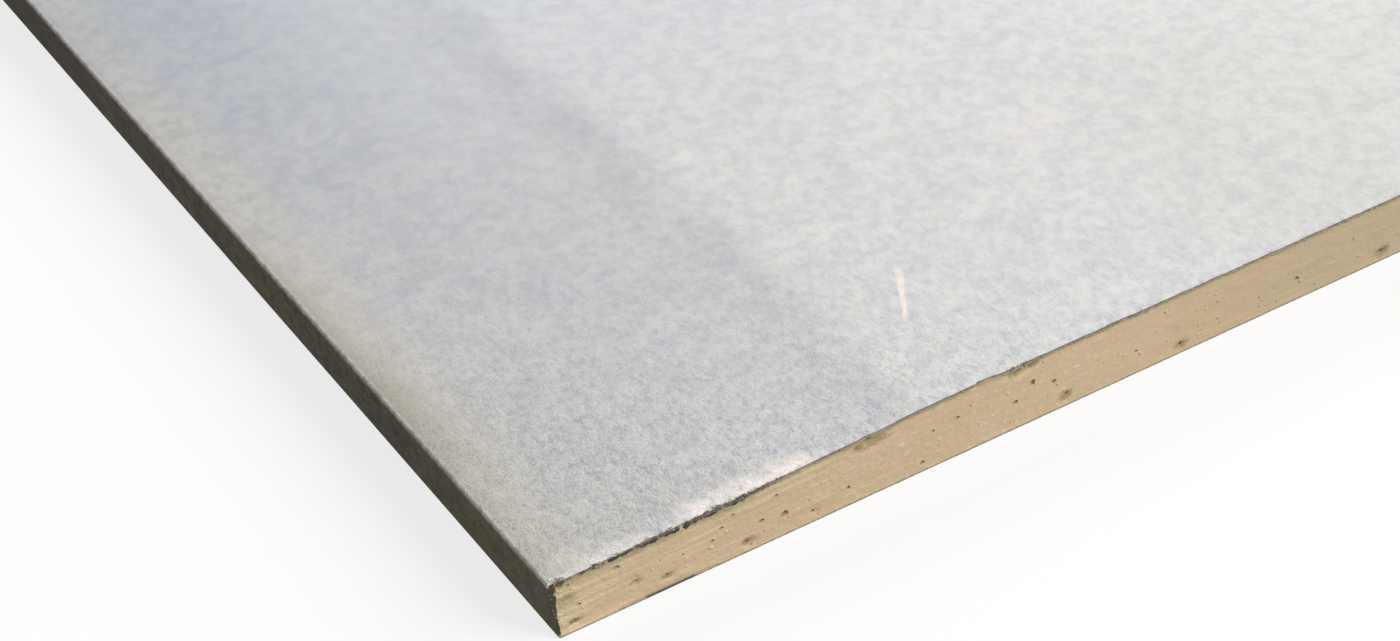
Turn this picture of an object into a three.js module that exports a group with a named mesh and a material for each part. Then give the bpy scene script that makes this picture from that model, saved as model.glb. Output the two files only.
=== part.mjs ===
// Half-inch drywall sheet with tapered long edges, lying flat with its face up.
//
// A drywall sheet is gypsum plaster cast between two papers. The face paper covers the front,
// folds down both long edges and runs a short way back underneath, where the back paper is glued
// over its flaps and pressed in flush with them. Along both long edges the face side is pressed
// thinner, so that a taped and filled joint between two sheets finishes level with the wall. The
// short ends are cut square and show the plaster with the edge of each paper.
//
// Millimetres, +Z up. X runs across the sheet and Y along it. The origin is the middle of the back.

import * as THREE from "three";

// ---- Sheet ----
const SHEET_WIDTH = 1219.2; // 4 ft, between the lines where the face meets the long edges
const SHEET_LENGTH = 2438.4; // 8 ft
const SHEET_THICKNESS = 12.7; // 1/2 in, both papers included

// ---- Papers ----
const FACE_PAPER = 0.35;
const BACK_PAPER = 0.3;
const FOLD_RADIUS = 0.3; // of the plaster that the face paper folds round
const FLAP_WIDTH = 26; // face paper turned under along each long edge
const BARE_FLAP = 9; // outer part of a flap that the back paper leaves bare
const LAP_RAMP = 1.2; // width over which a flap rises from the back of the sheet to clear the back paper

// ---- Tapered long edges ----
const TAPER_WIDTH = 63.5; // 2 1/2 in, from the long edge to the flat of the face
const TAPER_DEPTH = 2.1; // how much thinner the sheet is at its long edge
const SHOULDER_WIDTH = 11; // the steeper start of the taper, next to the flat
const SHOULDER_DEPTH = 0.6;
const SHOULDER_RADIUS = 120; // of the easing where the slope changes
const EDGE_LEAN = 1.4; // how far the long edge runs in under the face by the time it reaches the back

// ---- How finely arcs are stepped ----
const ARC_STEP = THREE.MathUtils.degToRad(12); // most that an arc turns between two points
const LEAST_ARC_STEPS = 3;
const MOST_OF_LEG = 0.48; // share of a straight stretch that one rounded corner may use up

// ---- Finishes ----
const facePaperFinish = new THREE.MeshStandardMaterial({ color: 0xd6d6d4, roughness: 0.92, metalness: 0 });
const backPaperFinish = new THREE.MeshStandardMaterial({ color: 0x9c9384, roughness: 0.95, metalness: 0 });
const gypsumFinish = new THREE.MeshStandardMaterial({ color: 0xcdb892, roughness: 0.97, metalness: 0 });

// A corner of a section line. Without a radius it stays sharp.
function corner(x, z, radius = 0) {
  return { at: new THREE.Vector2(x, z), radius };
}

// A point on the section line, with the unit-gap vector that carries it to the line's left: moving
// every station by the same multiple of its own vector gives a line at that distance.
function station(point, left) {
  return { point, left };
}

// The direction to the left of a leg, as a unit vector.
function leftOf(leg) {
  return new THREE.Vector2(-leg.y, leg.x).normalize();
}

// A sharp corner is one station. Its vector is longer than one, so that the moved legs still meet.
function sharpCorner({ at }, before, after, turn) {
  const bisector = leftOf(before).add(leftOf(after)).normalize();
  return [station(at.clone(), bisector.divideScalar(Math.cos(turn / 2)))];
}

// A rounded corner is an arc tangent to both legs, shrunk where a leg is too short for its radius.
function roundedCorner({ at, radius }, before, after, turn) {
  const room = MOST_OF_LEG * Math.min(before.length(), after.length());
  const reach = Math.min(radius * Math.tan(Math.abs(turn) / 2), room);
  const signedRadius = (Math.sign(turn) * reach) / Math.tan(Math.abs(turn) / 2);
  const start = at.clone().addScaledVector(before.clone().normalize(), -reach);
  const centre = start.clone().addScaledVector(leftOf(before), signedRadius);
  const steps = Math.max(LEAST_ARC_STEPS, Math.ceil(Math.abs(turn) / ARC_STEP));
  return Array.from({ length: steps + 1 }, (_, k) => {
    const left = leftOf(before).rotateAround(new THREE.Vector2(), (turn * k) / steps);
    return station(centre.clone().addScaledVector(left, -signedRadius), left);
  });
}

// Turns corners into stations from the first corner to the last.
function sectionLine(corners) {
  const legs = corners.slice(1).map((next, i) => next.at.clone().sub(corners[i].at));
  const inner = corners.slice(1, -1).flatMap((bend, i) => {
    const [before, after] = [legs[i], legs[i + 1]];
    const turn = Math.atan2(before.cross(after), before.dot(after)); // positive to the left
    const make = bend.radius > 0 ? roundedCorner : sharpCorner;
    return make(bend, before, after, turn);
  });
  const first = station(corners[0].at.clone(), leftOf(legs[0]));
  const last = station(corners.at(-1).at.clone(), leftOf(legs.at(-1)));
  return [first, ...inner, last];
}

const faceEdge = SHEET_WIDTH / 2; // where the face meets the long edge
const backEdge = faceEdge - EDGE_LEAN; // where the long edge meets the back
const backPaperEdge = backEdge - BARE_FLAP - LAP_RAMP;
const flapEnd = backEdge - FLAP_WIDTH;

// The outside of the face paper, from the middle of the face out to the end of the flap under the
// +X long edge. It goes clockwise round the edge, so its left side is the outside of the sheet.
function halfFaceLine() {
  const outsideFold = FOLD_RADIUS + FACE_PAPER;
  const shoulderEnd = faceEdge - TAPER_WIDTH + SHOULDER_WIDTH;
  return sectionLine([
    corner(0, SHEET_THICKNESS),
    corner(faceEdge - TAPER_WIDTH, SHEET_THICKNESS, SHOULDER_RADIUS),
    corner(shoulderEnd, SHEET_THICKNESS - SHOULDER_DEPTH, SHOULDER_RADIUS),
    corner(faceEdge, SHEET_THICKNESS - TAPER_DEPTH, outsideFold),
    corner(backEdge, 0, outsideFold),
    corner(backEdge - BARE_FLAP, 0),
    corner(backPaperEdge, BACK_PAPER),
    corner(flapEnd, BACK_PAPER),
  ]);
}

// A line from the middle of the face to one flap, joined to its mirror image: it runs from the end
// of the -X flap, over the face, to the end of the +X flap.
function bothSides(half) {
  const mirrored = half.slice(1).map((p) => new THREE.Vector2(-p.x, p.y));
  return [...mirrored.reverse(), ...half.slice(1)];
}

const stations = halfFaceLine();
const paperOutside = bothSides(stations.map((s) => s.point));
const paperInside = bothSides(stations.map((s) => s.point.clone().addScaledVector(s.left, -FACE_PAPER)));

// A piece is one section in X and Z, run the whole length of the sheet.
function alongSheet(name, outline, finish) {
  const geometry = new THREE.ExtrudeGeometry(new THREE.Shape(outline), {
    depth: SHEET_LENGTH,
    bevelEnabled: false,
  });
  geometry.rotateX(Math.PI / 2).translate(0, SHEET_LENGTH / 2, 0);
  const mesh = new THREE.Mesh(geometry, finish);
  mesh.name = name;
  return mesh;
}

// One paper thickness all the way: over the face, down the tapers, round the folds, along the flaps.
function facePaper() {
  return alongSheet("face_paper", [...paperOutside, ...paperInside.slice().reverse()], facePaperFinish);
}

// The plaster fills the face paper, and reaches down to the back paper between the two flaps.
function gypsumCore() {
  const betweenFlaps = [new THREE.Vector2(flapEnd, BACK_PAPER), new THREE.Vector2(-flapEnd, BACK_PAPER)];
  return alongSheet("gypsum_core", [...paperInside, ...betweenFlaps], gypsumFinish);
}

// A flat strip that laps over both flaps and leaves the outer part of each one bare.
function backPaper() {
  const outline = [
    new THREE.Vector2(-backPaperEdge, 0),
    new THREE.Vector2(backPaperEdge, 0),
    new THREE.Vector2(backPaperEdge, BACK_PAPER),
    new THREE.Vector2(-backPaperEdge, BACK_PAPER),
  ];
  return alongSheet("back_paper", outline, backPaperFinish);
}

const sheet = new THREE.Group();
sheet.name = "drywall_sheet";
sheet.add(gypsumCore(), facePaper(), backPaper());

export default sheet;
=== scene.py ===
# %% [markdown]
# # A drywall sheet
#
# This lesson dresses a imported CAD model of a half-inch drywall sheet. The CAD model has the three
# things that a factory puts together: a plaster core, the face paper that folds round the long edges,
# and the back paper. It is exact and perfectly clean. What it lacks is what a saw, a knife and a
# forklift leave behind: pinholes in the plaster, frayed paper, soft corners and a little dirt.
#
# Each piece is rebuilt in the same place with that detail, and the CAD model stays as it is.

# %% Load the frame
import math
import random

import bmesh
import bpy
import numpy as np
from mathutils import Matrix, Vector, noise
from mathutils.kdtree import KDTree


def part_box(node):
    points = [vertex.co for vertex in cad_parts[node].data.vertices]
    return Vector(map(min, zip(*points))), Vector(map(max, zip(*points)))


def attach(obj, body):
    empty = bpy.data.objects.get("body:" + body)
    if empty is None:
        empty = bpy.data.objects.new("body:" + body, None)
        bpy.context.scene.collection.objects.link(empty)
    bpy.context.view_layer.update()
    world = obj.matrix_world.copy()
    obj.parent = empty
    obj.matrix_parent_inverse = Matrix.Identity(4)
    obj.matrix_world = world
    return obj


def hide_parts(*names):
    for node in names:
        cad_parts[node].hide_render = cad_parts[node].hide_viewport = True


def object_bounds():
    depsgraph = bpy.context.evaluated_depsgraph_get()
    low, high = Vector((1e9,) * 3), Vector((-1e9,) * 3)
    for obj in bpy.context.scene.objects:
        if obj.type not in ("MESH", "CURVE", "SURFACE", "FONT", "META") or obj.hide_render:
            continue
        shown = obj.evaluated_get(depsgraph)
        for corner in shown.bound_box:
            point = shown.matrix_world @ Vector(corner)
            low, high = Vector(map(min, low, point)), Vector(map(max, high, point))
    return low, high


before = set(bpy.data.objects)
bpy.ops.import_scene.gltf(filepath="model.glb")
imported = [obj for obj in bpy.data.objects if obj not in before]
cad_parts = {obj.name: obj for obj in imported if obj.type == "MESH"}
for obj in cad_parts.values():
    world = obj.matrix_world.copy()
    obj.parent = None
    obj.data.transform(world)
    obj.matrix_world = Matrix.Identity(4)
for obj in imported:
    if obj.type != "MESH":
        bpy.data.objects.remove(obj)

cad_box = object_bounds()
print("the sheet spans", [round(a, 4) for a in cad_box[0]], "to", [round(a, 4) for a in cad_box[1]])

# %% [markdown]
# ## The sizes that everything shares
#
# Blender works in metres and paper is measured in tenths of a millimetre, so a constant turns one into
# the other. The sheet lies with its back on the floor. X runs across it, Y along it, and the two cut
# ends are at the lowest and highest Y.

# %% Name the sizes
MM = 0.001
TOUCH = 0.001 * MM  # points nearer to each other than this are one point
HALF_WIDTH, HALF_LENGTH, THICKNESS = cad_box[1]
MID_HEIGHT = THICKNESS / 2
LEFT_EDGE = -HALF_WIDTH + 1.3 * MM  # where the back meets the left long edge
FRONT, REAR = -1, 1  # the two cut ends, by the sign of Y
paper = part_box("face_paper")[1].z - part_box("gypsum_core")[1].z
print("the face paper is", round(paper / MM, 2), "mm thick")

# %% [markdown]
# ## Reading the CAD model
#
# A CAD mesh arrives as loose triangles. A copy of it is merged at its shared corners, and triangles
# that lie in one plane are dissolved into one face, which leaves the long clean facets that the sheet
# was drawn with. The corners at a cut end give the section, so no size has to be typed in twice.


# %% Merge a copy of a CAD node
def merged_copy(node):
    """A bmesh of a CAD node with its triangles joined into flat faces."""
    mesh = bmesh.new()
    mesh.from_mesh(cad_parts[node].data)
    bmesh.ops.remove_doubles(mesh, verts=mesh.verts, dist=TOUCH)
    bmesh.ops.dissolve_limit(
        mesh, angle_limit=math.radians(0.3), verts=mesh.verts, edges=mesh.edges, delimit=set()
    )
    return mesh


core_copy = merged_copy("gypsum_core")
core_section = [(corner.co.x, corner.co.z) for corner in core_copy.verts if corner.co.y < 0]
core_copy.free()
print("the core's section has", len(core_section), "corners")

# %% [markdown]
# ## Noise that repeats itself
#
# Torn paper and sawn plaster are irregular, but a script has to give the same sheet every time it runs.
# Perlin noise does that: it is a fixed landscape, and each kind of damage reads it at its own scale and
# in its own far-off part of the map.


# %% Two helpers for irregular shapes
def rough(x, y, size, part):
    """Smooth noise from -1 to 1, with bumps about `size` metres across. `part` picks the landscape."""
    return noise.noise(Vector((x / size + 17.3 * part, y / size - 9.1 * part, 3.7 * part)))


def ease(value, low, high):
    """0 below low, 1 above high, and a smooth slope between."""
    share = min(max((value - low) / (high - low), 0), 1)
    return share * share * (3 - 2 * share)


print("one place reads", round(rough(0.3 * MM, 0, MM, 1), 3), "in every run")

# %% [markdown]
# ## The plaster core
#
# The core is foamed plaster. Where the sheet was cut, the saw opened its air bubbles, so the end is full
# of pinholes. Holes could be painted on, or cut out with booleans. Here the cut face is a grid. The grid
# corners inside a hole are dissolved, which leaves one face with many corners. Those corners are moved
# onto a ragged oval, and the face is inset and pushed in three times. That keeps the mesh clean and
# gives real bowls, which are dark above and catch the light below.

# %% Sizes of the cut plaster
CUT_BACK = 0.24 * MM  # the plaster stands back a little from the cut edge of the paper
SAW_WAVES = 0.07 * MM
MOST_PROUD = 0.12 * MM  # how far a wave may come forward again
FOOT = (0.4 * MM, 1.2 * MM)  # between these heights the cut comes forward to the back paper's edge
FOOT_FORWARD = 0.85 * CUT_BACK
FINE_CELL = 0.5 * MM  # cells near the front left corner, where the finish is worked out most closely
WIDE_CELL = 1.0 * MM
FINE_STRETCH = 200 * MM
FINE_END = LEFT_EDGE + FINE_STRETCH  # marks are placed one by one up to here, and at random beyond
PITS_PER_METRE = 330
PIT_SIZES = (0.22 * MM, 0.32 * MM, 0.45 * MM, 0.65 * MM)  # half of their width
PIT_SHARES = (0.45, 0.33, 0.17, 0.05)
BOWL = ((0.12, 0.3), (0.26, 0.35), (0.34, 0.2))  # inset and depth of each step, as shares of the size
DEEPEST = 0.4  # a larger pit is no deeper than one of this size, in millimetres
MOUTH = 1.2  # placed pits are opened to this many times their listed size
RIM = 2  # cells along the rims that no pit is cut into
CLEAR = 2  # cells that stay whole round each pit
print("the cut ends get about", round(4 * HALF_WIDTH * PITS_PER_METRE), "pits")

# %% Pits and hollows placed one by one
# Pits of the front end: distance from the left edge, height, half width and half height in millimetres.
PLACED_PITS = (
    (3.4, 4.5, 0.45, 0.28), (2.7, 2.1, 0.3, 0.2), (1.9, 8.9, 0.3, 0.22), (9.6, 8.1, 0.5, 0.25),
    (12.7, 3.9, 0.25, 0.2), (17.8, 2.5, 0.3, 0.25), (20.3, 4.9, 0.25, 0.2), (25.3, 5.0, 0.3, 0.25),
    (26.8, 6.6, 0.35, 0.25), (28.6, 8.2, 0.4, 0.25), (31.2, 1.8, 0.3, 0.3), (33.5, 4.6, 0.5, 0.3),
    (37.6, 3.9, 0.65, 0.5), (36.0, 8.1, 0.4, 0.25), (42.6, 1.9, 0.35, 0.3), (48.8, 3.3, 0.4, 0.3),
    (62.3, 1.6, 0.4, 0.3), (63.9, 6.9, 0.3, 0.25), (68.3, 7.4, 0.35, 0.3), (70.6, 8.6, 0.3, 0.2),
    (79.4, 5.2, 0.5, 0.35), (82.5, 7.6, 0.4, 0.6), (86.7, 5.9, 0.4, 0.35), (89.6, 2.3, 0.4, 0.3),
    (103.2, 4.4, 0.35, 0.25), (112.6, 1.7, 0.4, 0.35), (115.8, 3.8, 0.2, 0.15), (119.4, 6.9, 0.25, 0.2),
    (120.0, 3.4, 0.25, 0.2), (128.6, 3.9, 0.3, 0.2), (136.8, 4.3, 0.45, 0.35), (156.2, 1.9, 0.4, 0.35),
)
# Shallow hollows: place and height, half width, half height and depth, in millimetres.
PLACED_HOLLOWS = (
    (2.2, 6.3, 1.4, 0.8, 0.25), (52.4, 10.6, 2.7, 0.9, 0.55), (80.0, 11.2, 2.6, 1.3, 0.7),
    (71.4, 12.0, 0.9, 0.6, 0.5), (12.7, 3.7, 1.3, 0.8, 0.2), (18.0, 2.0, 1.6, 1.0, 0.25),
    (31.6, 1.4, 2.0, 1.0, 0.3), (42.9, 1.5, 1.5, 1.0, 0.2), (89.4, 1.5, 1.7, 1.2, 0.25),
    (112.6, 1.3, 1.5, 1.1, 0.25), (156.4, 1.5, 1.6, 1.2, 0.3), (3.0, 1.2, 1.5, 0.9, 0.2),
)
print(len(PLACED_PITS), "pits and", len(PLACED_HOLLOWS), "hollows are placed by hand")


# %% Measure the core's section
def half_line(above):
    """The upper or lower side of the core's section, from its middle out to the right, as xs and zs."""
    side = sorted((x, z) for x, z in core_section if x > 0 and (z > MID_HEIGHT) == above)
    return [x for x, _ in side], [z for _, z in side]


def height_on(line, x):
    """The height of one side of the section at a distance from the middle."""
    return float(np.interp(abs(x), *line))


upper_line, lower_line = half_line(True), half_line(False)
reach_top, reach_foot = upper_line[0][-1], lower_line[0][-1]
CORE_TOP = upper_line[1][0]
fine_columns = round(FINE_STRETCH / FINE_CELL)
columns = fine_columns + round((2 * reach_top - FINE_STRETCH) / WIDE_CELL)
rows = round((CORE_TOP - lower_line[1][0]) / FINE_CELL)
print("the cut face is a grid of", columns, "by", rows)

# %% Shape a grid like the section
FOOT_CORNER = 0.3 * MM  # heights are read no nearer than this to the section's rounded foot


def core_place(column, row):
    """The x and z of a corner of the cut face. Columns count from the left and rows from the back."""
    across = float(np.interp(column, (0, fine_columns, columns), (-1, FINE_STRETCH / reach_top - 1, 1)))
    up = row / rows
    x = across * (reach_foot + (reach_top - reach_foot) * up)
    inside = min(abs(x), reach_foot - FOOT_CORNER)
    low, high = height_on(lower_line, inside), height_on(upper_line, inside)
    return x, low + (high - low) * up


def cut_face(mesh, end):
    """Adds a grid in the shape of the core's section at one end. Returns its corners by column and row."""
    made = bmesh.ops.create_grid(mesh, x_segments=columns, y_segments=rows, size=1)["verts"]
    table = {}
    for corner in made:
        place = round((corner.co.x + 1) / 2 * columns), round((corner.co.y + 1) / 2 * rows)
        table[place] = corner
        x, z = core_place(*place)
        corner.co = (x, end * (HALF_LENGTH - CUT_BACK), z)
    if end == REAR:
        faces = {face for corner in made for face in corner.link_faces}
        bmesh.ops.reverse_faces(mesh, faces=list(faces))
    return table


print("its left foot is at", [round(at / MM, 2) for at in core_place(0, 0)], "mm")


# %% Choose the pits of an end
def pits_of(end):
    """The pits of one end as (x, z, half width, half height) in metres, the widest first."""
    dice = random.Random(11 + end)
    placed = [tuple(value * MM for value in pit) for pit in PLACED_PITS] if end == FRONT else []
    pits = [(LEFT_EDGE + x, z, MOUTH * wide, MOUTH * tall) for x, z, wide, tall in placed]
    for _ in range(round(2 * HALF_WIDTH * PITS_PER_METRE)):
        size = dice.choices(PIT_SIZES, PIT_SHARES)[0]
        x, z = dice.uniform(-HALF_WIDTH, HALF_WIDTH), dice.uniform(0.5 * MM, THICKNESS)
        if placed and x < FINE_END:
            # Between the placed pits there are only small ones, and half as many.
            size = PIT_SIZES[0]
            if dice.random() < 0.5:
                continue
        pits.append((x, z, size, size * dice.uniform(0.6, 1)))
    return sorted(pits, key=lambda pit: -pit[2])


def cells_round(column, row, reach):
    """The places in the grid that are at most so many cells away from one place."""
    steps = range(-reach, reach + 1)
    return [(column + i, row + j) for i in steps for j in steps]


def corners_inside(table, pit):
    """The grid corners inside a pit, or the nearest one for a small pit. Empty when it is too near a rim."""
    x, z, wide, tall = pit
    shift = x + reach_top
    column = shift / FINE_CELL if shift < FINE_STRETCH else fine_columns + (shift - FINE_STRETCH) / WIDE_CELL
    near = cells_round(round(column), round(z / THICKNESS * rows), 3)
    near = [(i, j) for i, j in near if RIM <= i <= columns - RIM and RIM <= j <= rows - RIM]
    if not near:
        return []

    def away(place):
        return math.hypot((table[place].co.x - x) / wide, (table[place].co.z - z) / tall)

    inside = [place for place in near if away(place) < 1]
    nearest = min(near, key=away)
    if not inside and away(nearest) * min(wide, tall) < FINE_CELL:
        inside = [nearest]
    return inside


print("the widest pit of the front end is", round(2 * pits_of(FRONT)[0][2] / MM, 2), "mm across")


# %% Open and sink the pits
def open_mouths(mesh, table, pits):
    """Dissolves the corners inside each pit that has room for itself. Returns the pits that had room."""
    taken, dissolved, kept = set(), [], []
    for pit in pits:
        inside = corners_inside(table, pit)
        around = {near for place in inside for near in cells_round(*place, CLEAR)}
        if not inside or around & taken:
            continue
        taken.update(inside)
        dissolved += [table[place] for place in inside]
        kept.append(pit)
    bmesh.ops.dissolve_verts(mesh, verts=dissolved)
    return kept


def shape_mouths(mesh, end, pits):
    """Moves the corners of each mouth onto a ragged oval. Returns the mouths by half height in mm."""
    tree = KDTree(len(pits))
    for number, (x, z, _, _) in enumerate(pits):
        tree.insert((x, 0, z), number)
    tree.balance()
    by_size = {}
    for mouth in [face for face in mesh.faces if len(face.verts) > 4]:
        middle = mouth.calc_center_median()
        if middle.y * end < 0:
            continue
        x, z, wide, tall = pits[tree.find((middle.x, 0, middle.z))[1]]
        for corner in mouth.verts:
            turn = math.atan2((corner.co.z - z) / tall, (corner.co.x - x) / wide)
            swell = 1 + 0.3 * rough(corner.co.x, corner.co.z, 0.4 * MM, 7)
            corner.co.x = x + wide * swell * math.cos(turn)
            corner.co.z = z + tall * swell * math.sin(turn)
        by_size.setdefault(round(tall / MM, 1), []).append(mouth)
    return by_size


def sink_pits(mesh, by_size):
    """Turns the mouths into bowls, and marks the inside of each bowl for its colour."""
    pit = mesh.verts.layers.float["pit"]
    for size, mouths in by_size.items():
        for share, depth in BOWL:
            depth = -depth * min(size, DEEPEST) * MM
            bmesh.ops.inset_individual(mesh, faces=mouths, thickness=share * size * MM, depth=depth)
            for corner in {corner for mouth in mouths for corner in mouth.verts}:
                corner[pit] = ease(size, 0.05, 0.35)
    print(sum(len(mouths) for mouths in by_size.values()), "pits sunk")


# %% [markdown]
# The cut is not flat either. A saw leaves waves, and plaster breaks away in shallow hollows. Sculpting
# would make both, but here a function of the place does it, which moves the corners of the grid along Y.
# Paper covers the long sides, so they need no detail, and one bridge between the ends closes the core.


# %% Roughen the cut
def hollows_of(end):
    """The shallow hollows of one end: the ones placed by hand, and random ones under the face paper."""
    dice = random.Random(40 + end)
    top = THICKNESS - 1.2 * MM
    hollows = [
        (dice.uniform(-HALF_WIDTH, HALF_WIDTH), top, dice.uniform(1, 3) * MM, 1 * MM, 0.4 * MM)
        for _ in range(14)
    ]
    if end == FRONT:
        hollows = [hollow for hollow in hollows if hollow[0] > FINE_END]
        for x, *rest in PLACED_HOLLOWS:
            hollows.append((LEFT_EDGE + x * MM, *(value * MM for value in rest)))
    return hollows


def saw_cut(x, z, end, hollows):
    """How far the cut face lies in from a true plane."""
    depth = SAW_WAVES * (rough(x, z, 9 * MM, end) + 0.8 * rough(0.4 * x, z, 1.3 * MM, 3 + end))
    for at, height, wide, tall, deep in hollows:
        away = math.hypot((x - at) / wide, (z - height) / tall)
        if away < 1:
            depth += deep * (1 - ease(away, 0.3, 1))
    return max(depth, -MOST_PROUD)


print("the two ends have", [len(hollows_of(end)) for end in (FRONT, REAR)], "hollows")


# %% Build the core
def build_core():
    """The whole core: two rough cut ends and the long sides between them."""
    mesh = bmesh.new()
    mesh.verts.layers.float.new("pit")
    for end in (FRONT, REAR):
        table = cut_face(mesh, end)
        pits = open_mouths(mesh, table, pits_of(end))
        sink_pits(mesh, shape_mouths(mesh, end, pits))
        hollows = hollows_of(end)
        for corner in mesh.verts:
            if corner.co.y * end > 0:
                share = ease(corner.co.z, *FOOT)
                depth = saw_cut(corner.co.x, corner.co.z, end, hollows) * share
                corner.co.y -= end * (depth - (1 - share) * FOOT_FORWARD)
    rims = [edge for edge in mesh.edges if edge.is_boundary]
    bmesh.ops.bridge_loops(mesh, edges=rims)
    bmesh.ops.recalc_face_normals(mesh, faces=mesh.faces)
    print("the core has", len(mesh.faces), "faces")
    return mesh


# %% Turn a bmesh into a piece
def as_data(name, mesh):
    """Writes a bmesh to a mesh of its own and lets the bmesh go."""
    data = bpy.data.meshes.new(name)
    mesh.to_mesh(data)
    mesh.free()
    return data


def in_scene(name, data):
    """A new object in the scene, at the origin, unturned and unscaled."""
    thing = bpy.data.objects.new(name, data)
    bpy.context.scene.collection.objects.link(thing)
    return thing


def make_piece(name, mesh, materials, node=None, sharp=35):
    """Makes a piece of a bmesh, shades it smooth between sharp edges and names its place."""
    data = as_data(name, mesh)
    for face in data.polygons:
        face.use_smooth = True
    data.set_sharp_from_angle(angle=math.radians(sharp))
    for material in materials:
        data.materials.append(material)
    piece = in_scene(name, data)
    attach(piece, "root")
    if node:
        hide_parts(node)
    data.calc_loop_triangles()
    print(name, "has", len(data.loop_triangles), "triangles")


# %% [markdown]
# ## The papers
#
# A paper's cut edge is where its make shows: pale on the outside and grey inside, with torn fibres. The
# copy of the CAD paper is cut across near each end, and the last strips are divided very finely, so that
# the edge can wander in and out, sag over the plaster and fray. The middle needs rows only where the
# long edges wave a little.

# %% Sizes of the papers
THREADS = {FRONT: 0.28 * MM, REAR: 0.6 * MM}  # width of the cells along each cut edge
LAST_ROWS = (0.4 * MM, 1.2 * MM)  # rows as fine as the cut edge, by their distance from it
WIDER_ROWS = {4 * MM: 2 * MM, 12 * MM: 16 * MM}  # rows further in and the width of their cells
WAVE_STEP = 8 * MM
BAY = 80 * MM  # the wide faces are cut into bays, because very long thin faces blur a fine pattern
SIDE_START = HALF_WIDTH - 9.5 * MM  # beyond this a face belongs to the long edge


def facing(face):
    """1 for a face on the outside of the sheet, -1 on the inside, 0 for the end of a flap."""
    centre = face.calc_center_median()
    sideways = centre.x - max(-SIDE_START, min(SIDE_START, centre.x))
    outwards = sideways * face.normal.x + (centre.z - MID_HEIGHT) * face.normal.z
    return 0 if abs(outwards) < TOUCH else math.copysign(1, outwards)


def in_row(corner, end, distance):
    """Whether a corner lies in the row at this distance from one cut end."""
    return abs(corner.co.y - end * (HALF_LENGTH - distance)) < TOUCH


print("a front cut is", round(2 * HALF_WIDTH / THREADS[FRONT]), "threads wide")


# %% Divide a paper finely at its cut ends
def opened_paper(node):
    """A copy of a CAD paper without its end faces, cut into bays and across near both ends."""
    mesh = merged_copy(node)
    ends = [face for face in mesh.faces if abs(face.normal.y) > 0.9]
    bmesh.ops.delete(mesh, geom=ends, context="FACES")
    bays = int(SIDE_START / BAY)
    cuts = [((number * BAY, 0, 0), (1, 0, 0)) for number in range(-bays, bays + 1)]
    for end in (FRONT, REAR):
        for distance in (*WIDER_ROWS, *LAST_ROWS):
            cuts.append(((0, end * (HALF_LENGTH - distance), 0), (0, 1, 0)))
    for place, across in cuts:
        everything = mesh.verts[:] + mesh.edges[:] + mesh.faces[:]
        bmesh.ops.bisect_plane(mesh, geom=everything, plane_co=place, plane_no=across)
    return mesh


def divide_rows(mesh):
    """Cuts the middle into short rows, and the rows at the cut ends into cells that get finer and finer."""
    middle = HALF_LENGTH - max(WIDER_ROWS)
    along = [edge for edge in mesh.edges if edge.calc_length() > middle]
    bmesh.ops.subdivide_edges(mesh, edges=along, cuts=round(2 * middle / WAVE_STEP), use_grid_fill=True)
    groups = {}
    for end, thread in THREADS.items():
        cells = {distance: thread for distance in (0, *LAST_ROWS)} | WIDER_ROWS
        for edge in mesh.edges:
            for distance, cell in cells.items():
                cuts = round(edge.calc_length() / cell) - 1
                if cuts > 0 and all(in_row(corner, end, distance) for corner in edge.verts):
                    groups.setdefault(cuts, []).append(edge)
    for cuts, edges in groups.items():
        bmesh.ops.subdivide_edges(mesh, edges=edges, cuts=cuts, use_grid_fill=True)


def close_ends(mesh):
    """Joins the outer and the inner skin of a paper along each cut, and returns the new faces."""
    made = []
    for end in (FRONT, REAR):
        rim = [edge for edge in mesh.edges if edge.is_boundary and edge.verts[0].co.y * end > 0]
        sides = [edge for edge in rim if facing(edge.link_faces[0]) != 0]
        made += bmesh.ops.bridge_loops(mesh, edges=sides)["faces"]
    print("the cut edges of a paper have", len(made), "faces")
    return made


# %% [markdown]
# Now the damage. A cut edge of paper wanders by a tenth of a millimetre, and its inner lip hangs over the
# plaster as a dark ragged line. Where the knife crushed it, the lip is thick and the face rolls down into
# it. A nick is a bit of paper that is gone. The long edges are pressed, never cut, so they only wave.
# Next to the cuts the back paper spreads a little under the flaps, which rise there to let it in.

# %% Sizes of the damage
WANDER = 0.08 * MM
MOST_BACK = 0.2 * MM
LIP = 0.56 * MM
CRUSHED_LIP = 0.92 * MM
ROLL = 0.35 * MM
ARRIS_ROLL = 0.22 * MM
ARRIS = (9.7 * MM, 10.3 * MM)  # the long edge gives way to the face between these heights
EDGE_WAVE = 0.03 * MM
FLAP_TOP = 1.2 * MM  # the folded-under flap lies below this height
FLAP_BACK = 0.03 * MM  # and was cut nearly flush
BACK_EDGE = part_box("back_paper")[1].x
FEATHER = 1.1 * MM  # the most that the back paper spreads

# Places where the knife crushed the front cut: start, full from, full to, end and strength, in
# millimetres from the left edge.
PLACED_CRUSHES = (
    (-3, -1.6, 0.6, 2.2, 0.8), (3.6, 4.3, 4.7, 5.2, 0.5), (5.2, 5.8, 6.9, 7.8, 0.8),
    (8.8, 9.4, 10.2, 12.3, 0.75), (12.6, 13.8, 18.8, 19.9, 0.8), (20.3, 21, 29.5, 40, 0.82),
    (77, 78.6, 80, 82.5, 0.7), (96, 112, 150, 175, 0.3),
)
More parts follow.
